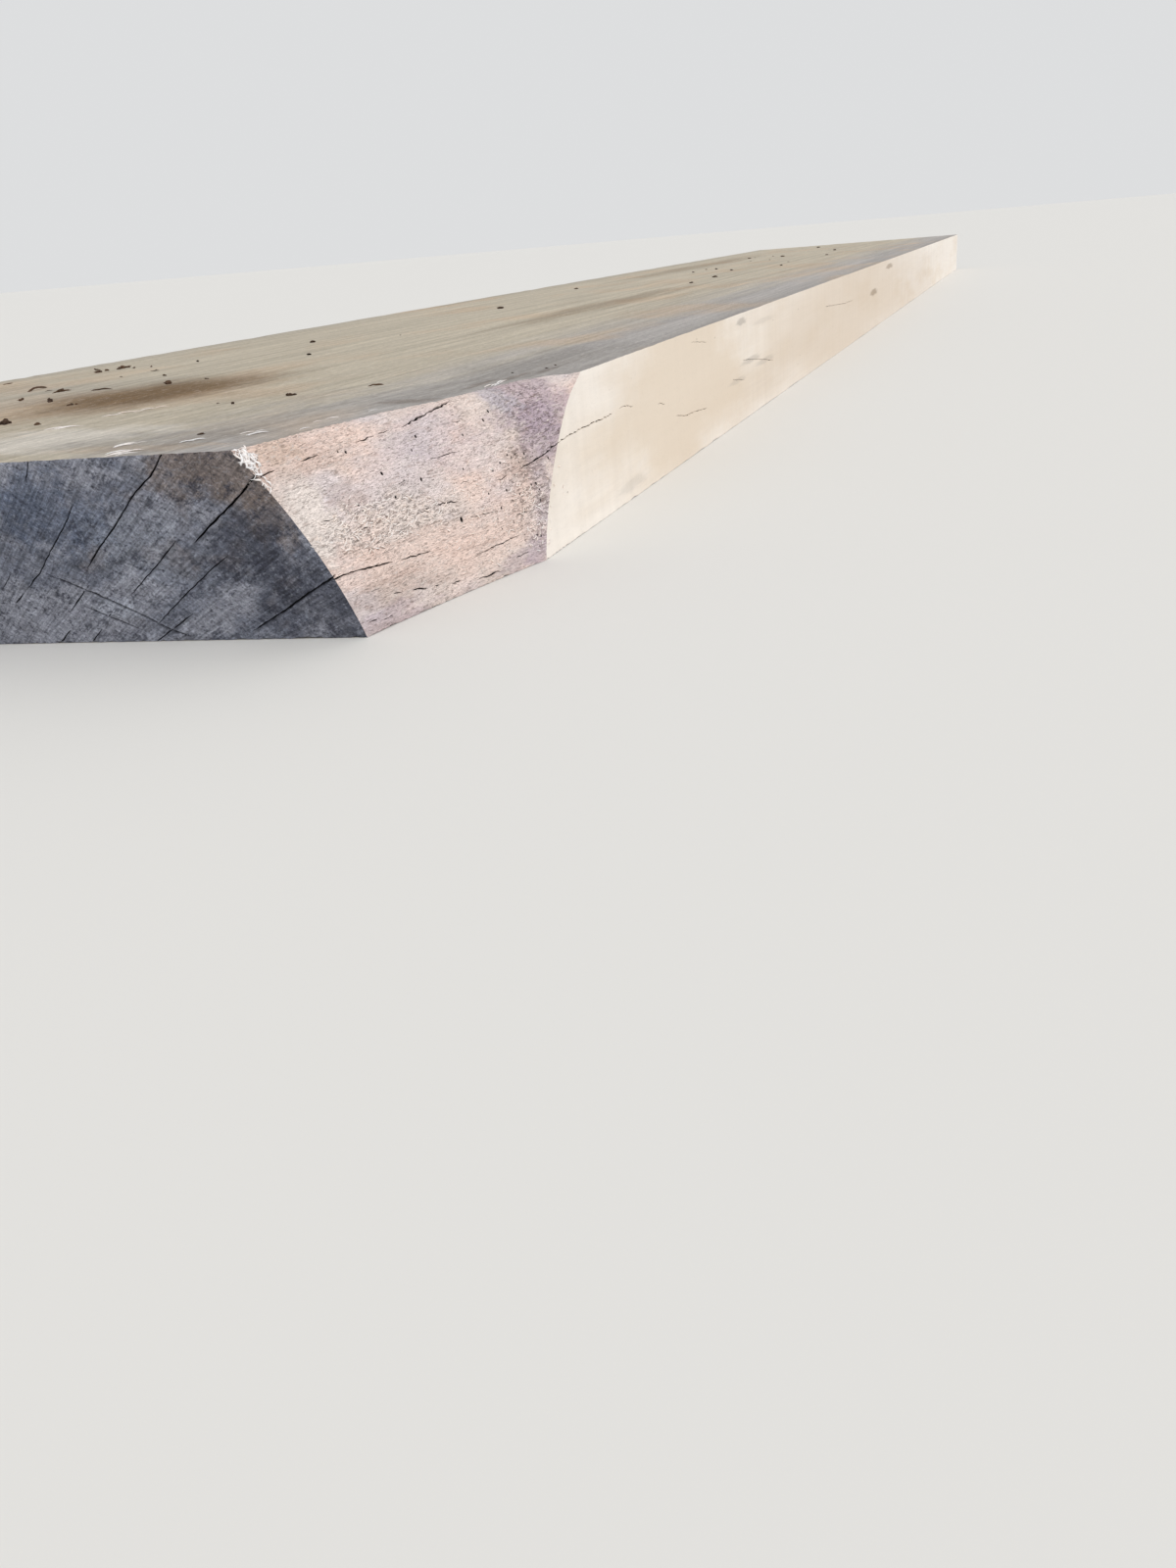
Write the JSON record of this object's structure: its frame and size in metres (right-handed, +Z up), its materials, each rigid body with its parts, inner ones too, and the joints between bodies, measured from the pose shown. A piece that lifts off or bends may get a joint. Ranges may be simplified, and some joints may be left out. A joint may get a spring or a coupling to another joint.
{
  "type": "waney-cornered beech plank",
  "caption": "Thick slab of beech with straight sawn edges, flat sawn faces, and rounded wane on both corners of one cross-cut end.",
  "frame": {"origin": "middle of the plank's length and width, on its underside", "axes": "+X across the plank, +Y along the grain towards the square far end, +Z up through its thickness"},
  "size_m": [0.62, 3.923, 0.1],
  "materials": {
    "beech": "rough sawn"
  },
  "bodies": {
    "root": {"plank": "beech"}
  },
  "joints": []
}
